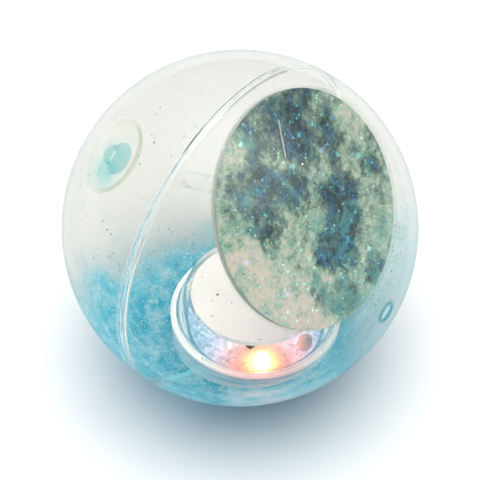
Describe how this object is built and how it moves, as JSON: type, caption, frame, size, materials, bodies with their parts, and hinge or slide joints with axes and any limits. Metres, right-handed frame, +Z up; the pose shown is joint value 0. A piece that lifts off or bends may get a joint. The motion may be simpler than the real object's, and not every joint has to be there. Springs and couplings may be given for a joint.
{
  "type": "light-up glitter water ball",
  "caption": "Clear water-filled toy ball with glitter, a moon-picture disc held inside, a seam round the middle and a lit flasher pod at the bottom.",
  "frame": {"origin": "centre of the ball", "axes": "+Z up with the ball standing on its weighted flasher pod; the line through the two poles of the half shells is Y, with the fill plug at -Y and the back cap at +Y; the seam lies in the XZ plane"},
  "size_m": [0.065, 0.0648, 0.065],
  "materials": {
    "clear_shell": "clear polished moulding, slightly hazy",
    "seam_clear": "clear weld ring with fine ridges",
    "plug_clear": "clear blue push-in plug",
    "cap_frosted": "pale beige, slightly frosted",
    "seal_rubber": "soft translucent white",
    "valve_turquoise": "soft turquoise",
    "tray_white": "white moulded plastic",
    "moon_print": "printed film, grey-green and blue-black mottling with glitter",
    "lens_clear": "clear low dome, polished",
    "arm_clear": "clear moulded arms",
    "pod_clear": "clear moulding, polished",
    "pad_clear": "clear soft adhesive",
    "reflector_white": "white plastic plate",
    "board": "pale laminate with solder pads",
    "chip_black": "black epoxy",
    "lamp_warm": "clear epoxy lamp, lit warm white",
    "lamp_red": "red epoxy lamp, lit",
    "cage_plastic": "white moulded plastic",
    "cell_steel": "bright steel cans",
    "contact_plate": "thin spring brass",
    "switch_brass": "plain brass",
    "glitter_water": "clear water with blue and green glitter"
  },
  "bodies": {
    "ball": {"shell_front": "clear_shell", "shell_back": "clear_shell", "seam_ring": "seam_clear", "fill_plug": "plug_clear", "port_cap": "cap_frosted", "port_seal": "seal_rubber", "port_valve": "valve_turquoise", "moon_tray": "tray_white", "moon_print": "moon_print", "moon_lens": "lens_clear", "moon_arms": "arm_clear", "pod_cup": "pod_clear", "pod_cover": "pod_clear", "pod_seal": "seal_rubber", "pod_pad": "pad_clear", "reflector_plate": "reflector_white", "circuit_board": "board", "flasher_chip": "chip_black", "resistors": "chip_black", "lamp_warm": "lamp_warm", "lamp_red": "lamp_red", "cell_cage": "cage_plastic", "button_cells": "cell_steel", "contact_top": "contact_plate", "contact_bottom": "contact_plate", "switch_post": "switch_brass", "switch_ring": "switch_brass", "water_fill": "glitter_water"},
    "shake_spring": {"switch_spring": "switch_brass"}
  },
  "joints": [
    {"name": "shake_spring_sway", "type": "hinge", "parent": "ball", "child": "shake_spring", "pos_m": [0.005, 0.003, -0.0223], "axis": [0, 1, 0], "range_deg": [-7, 7], "stiffness_Nm_per_rad": 0.0001}
  ]
}
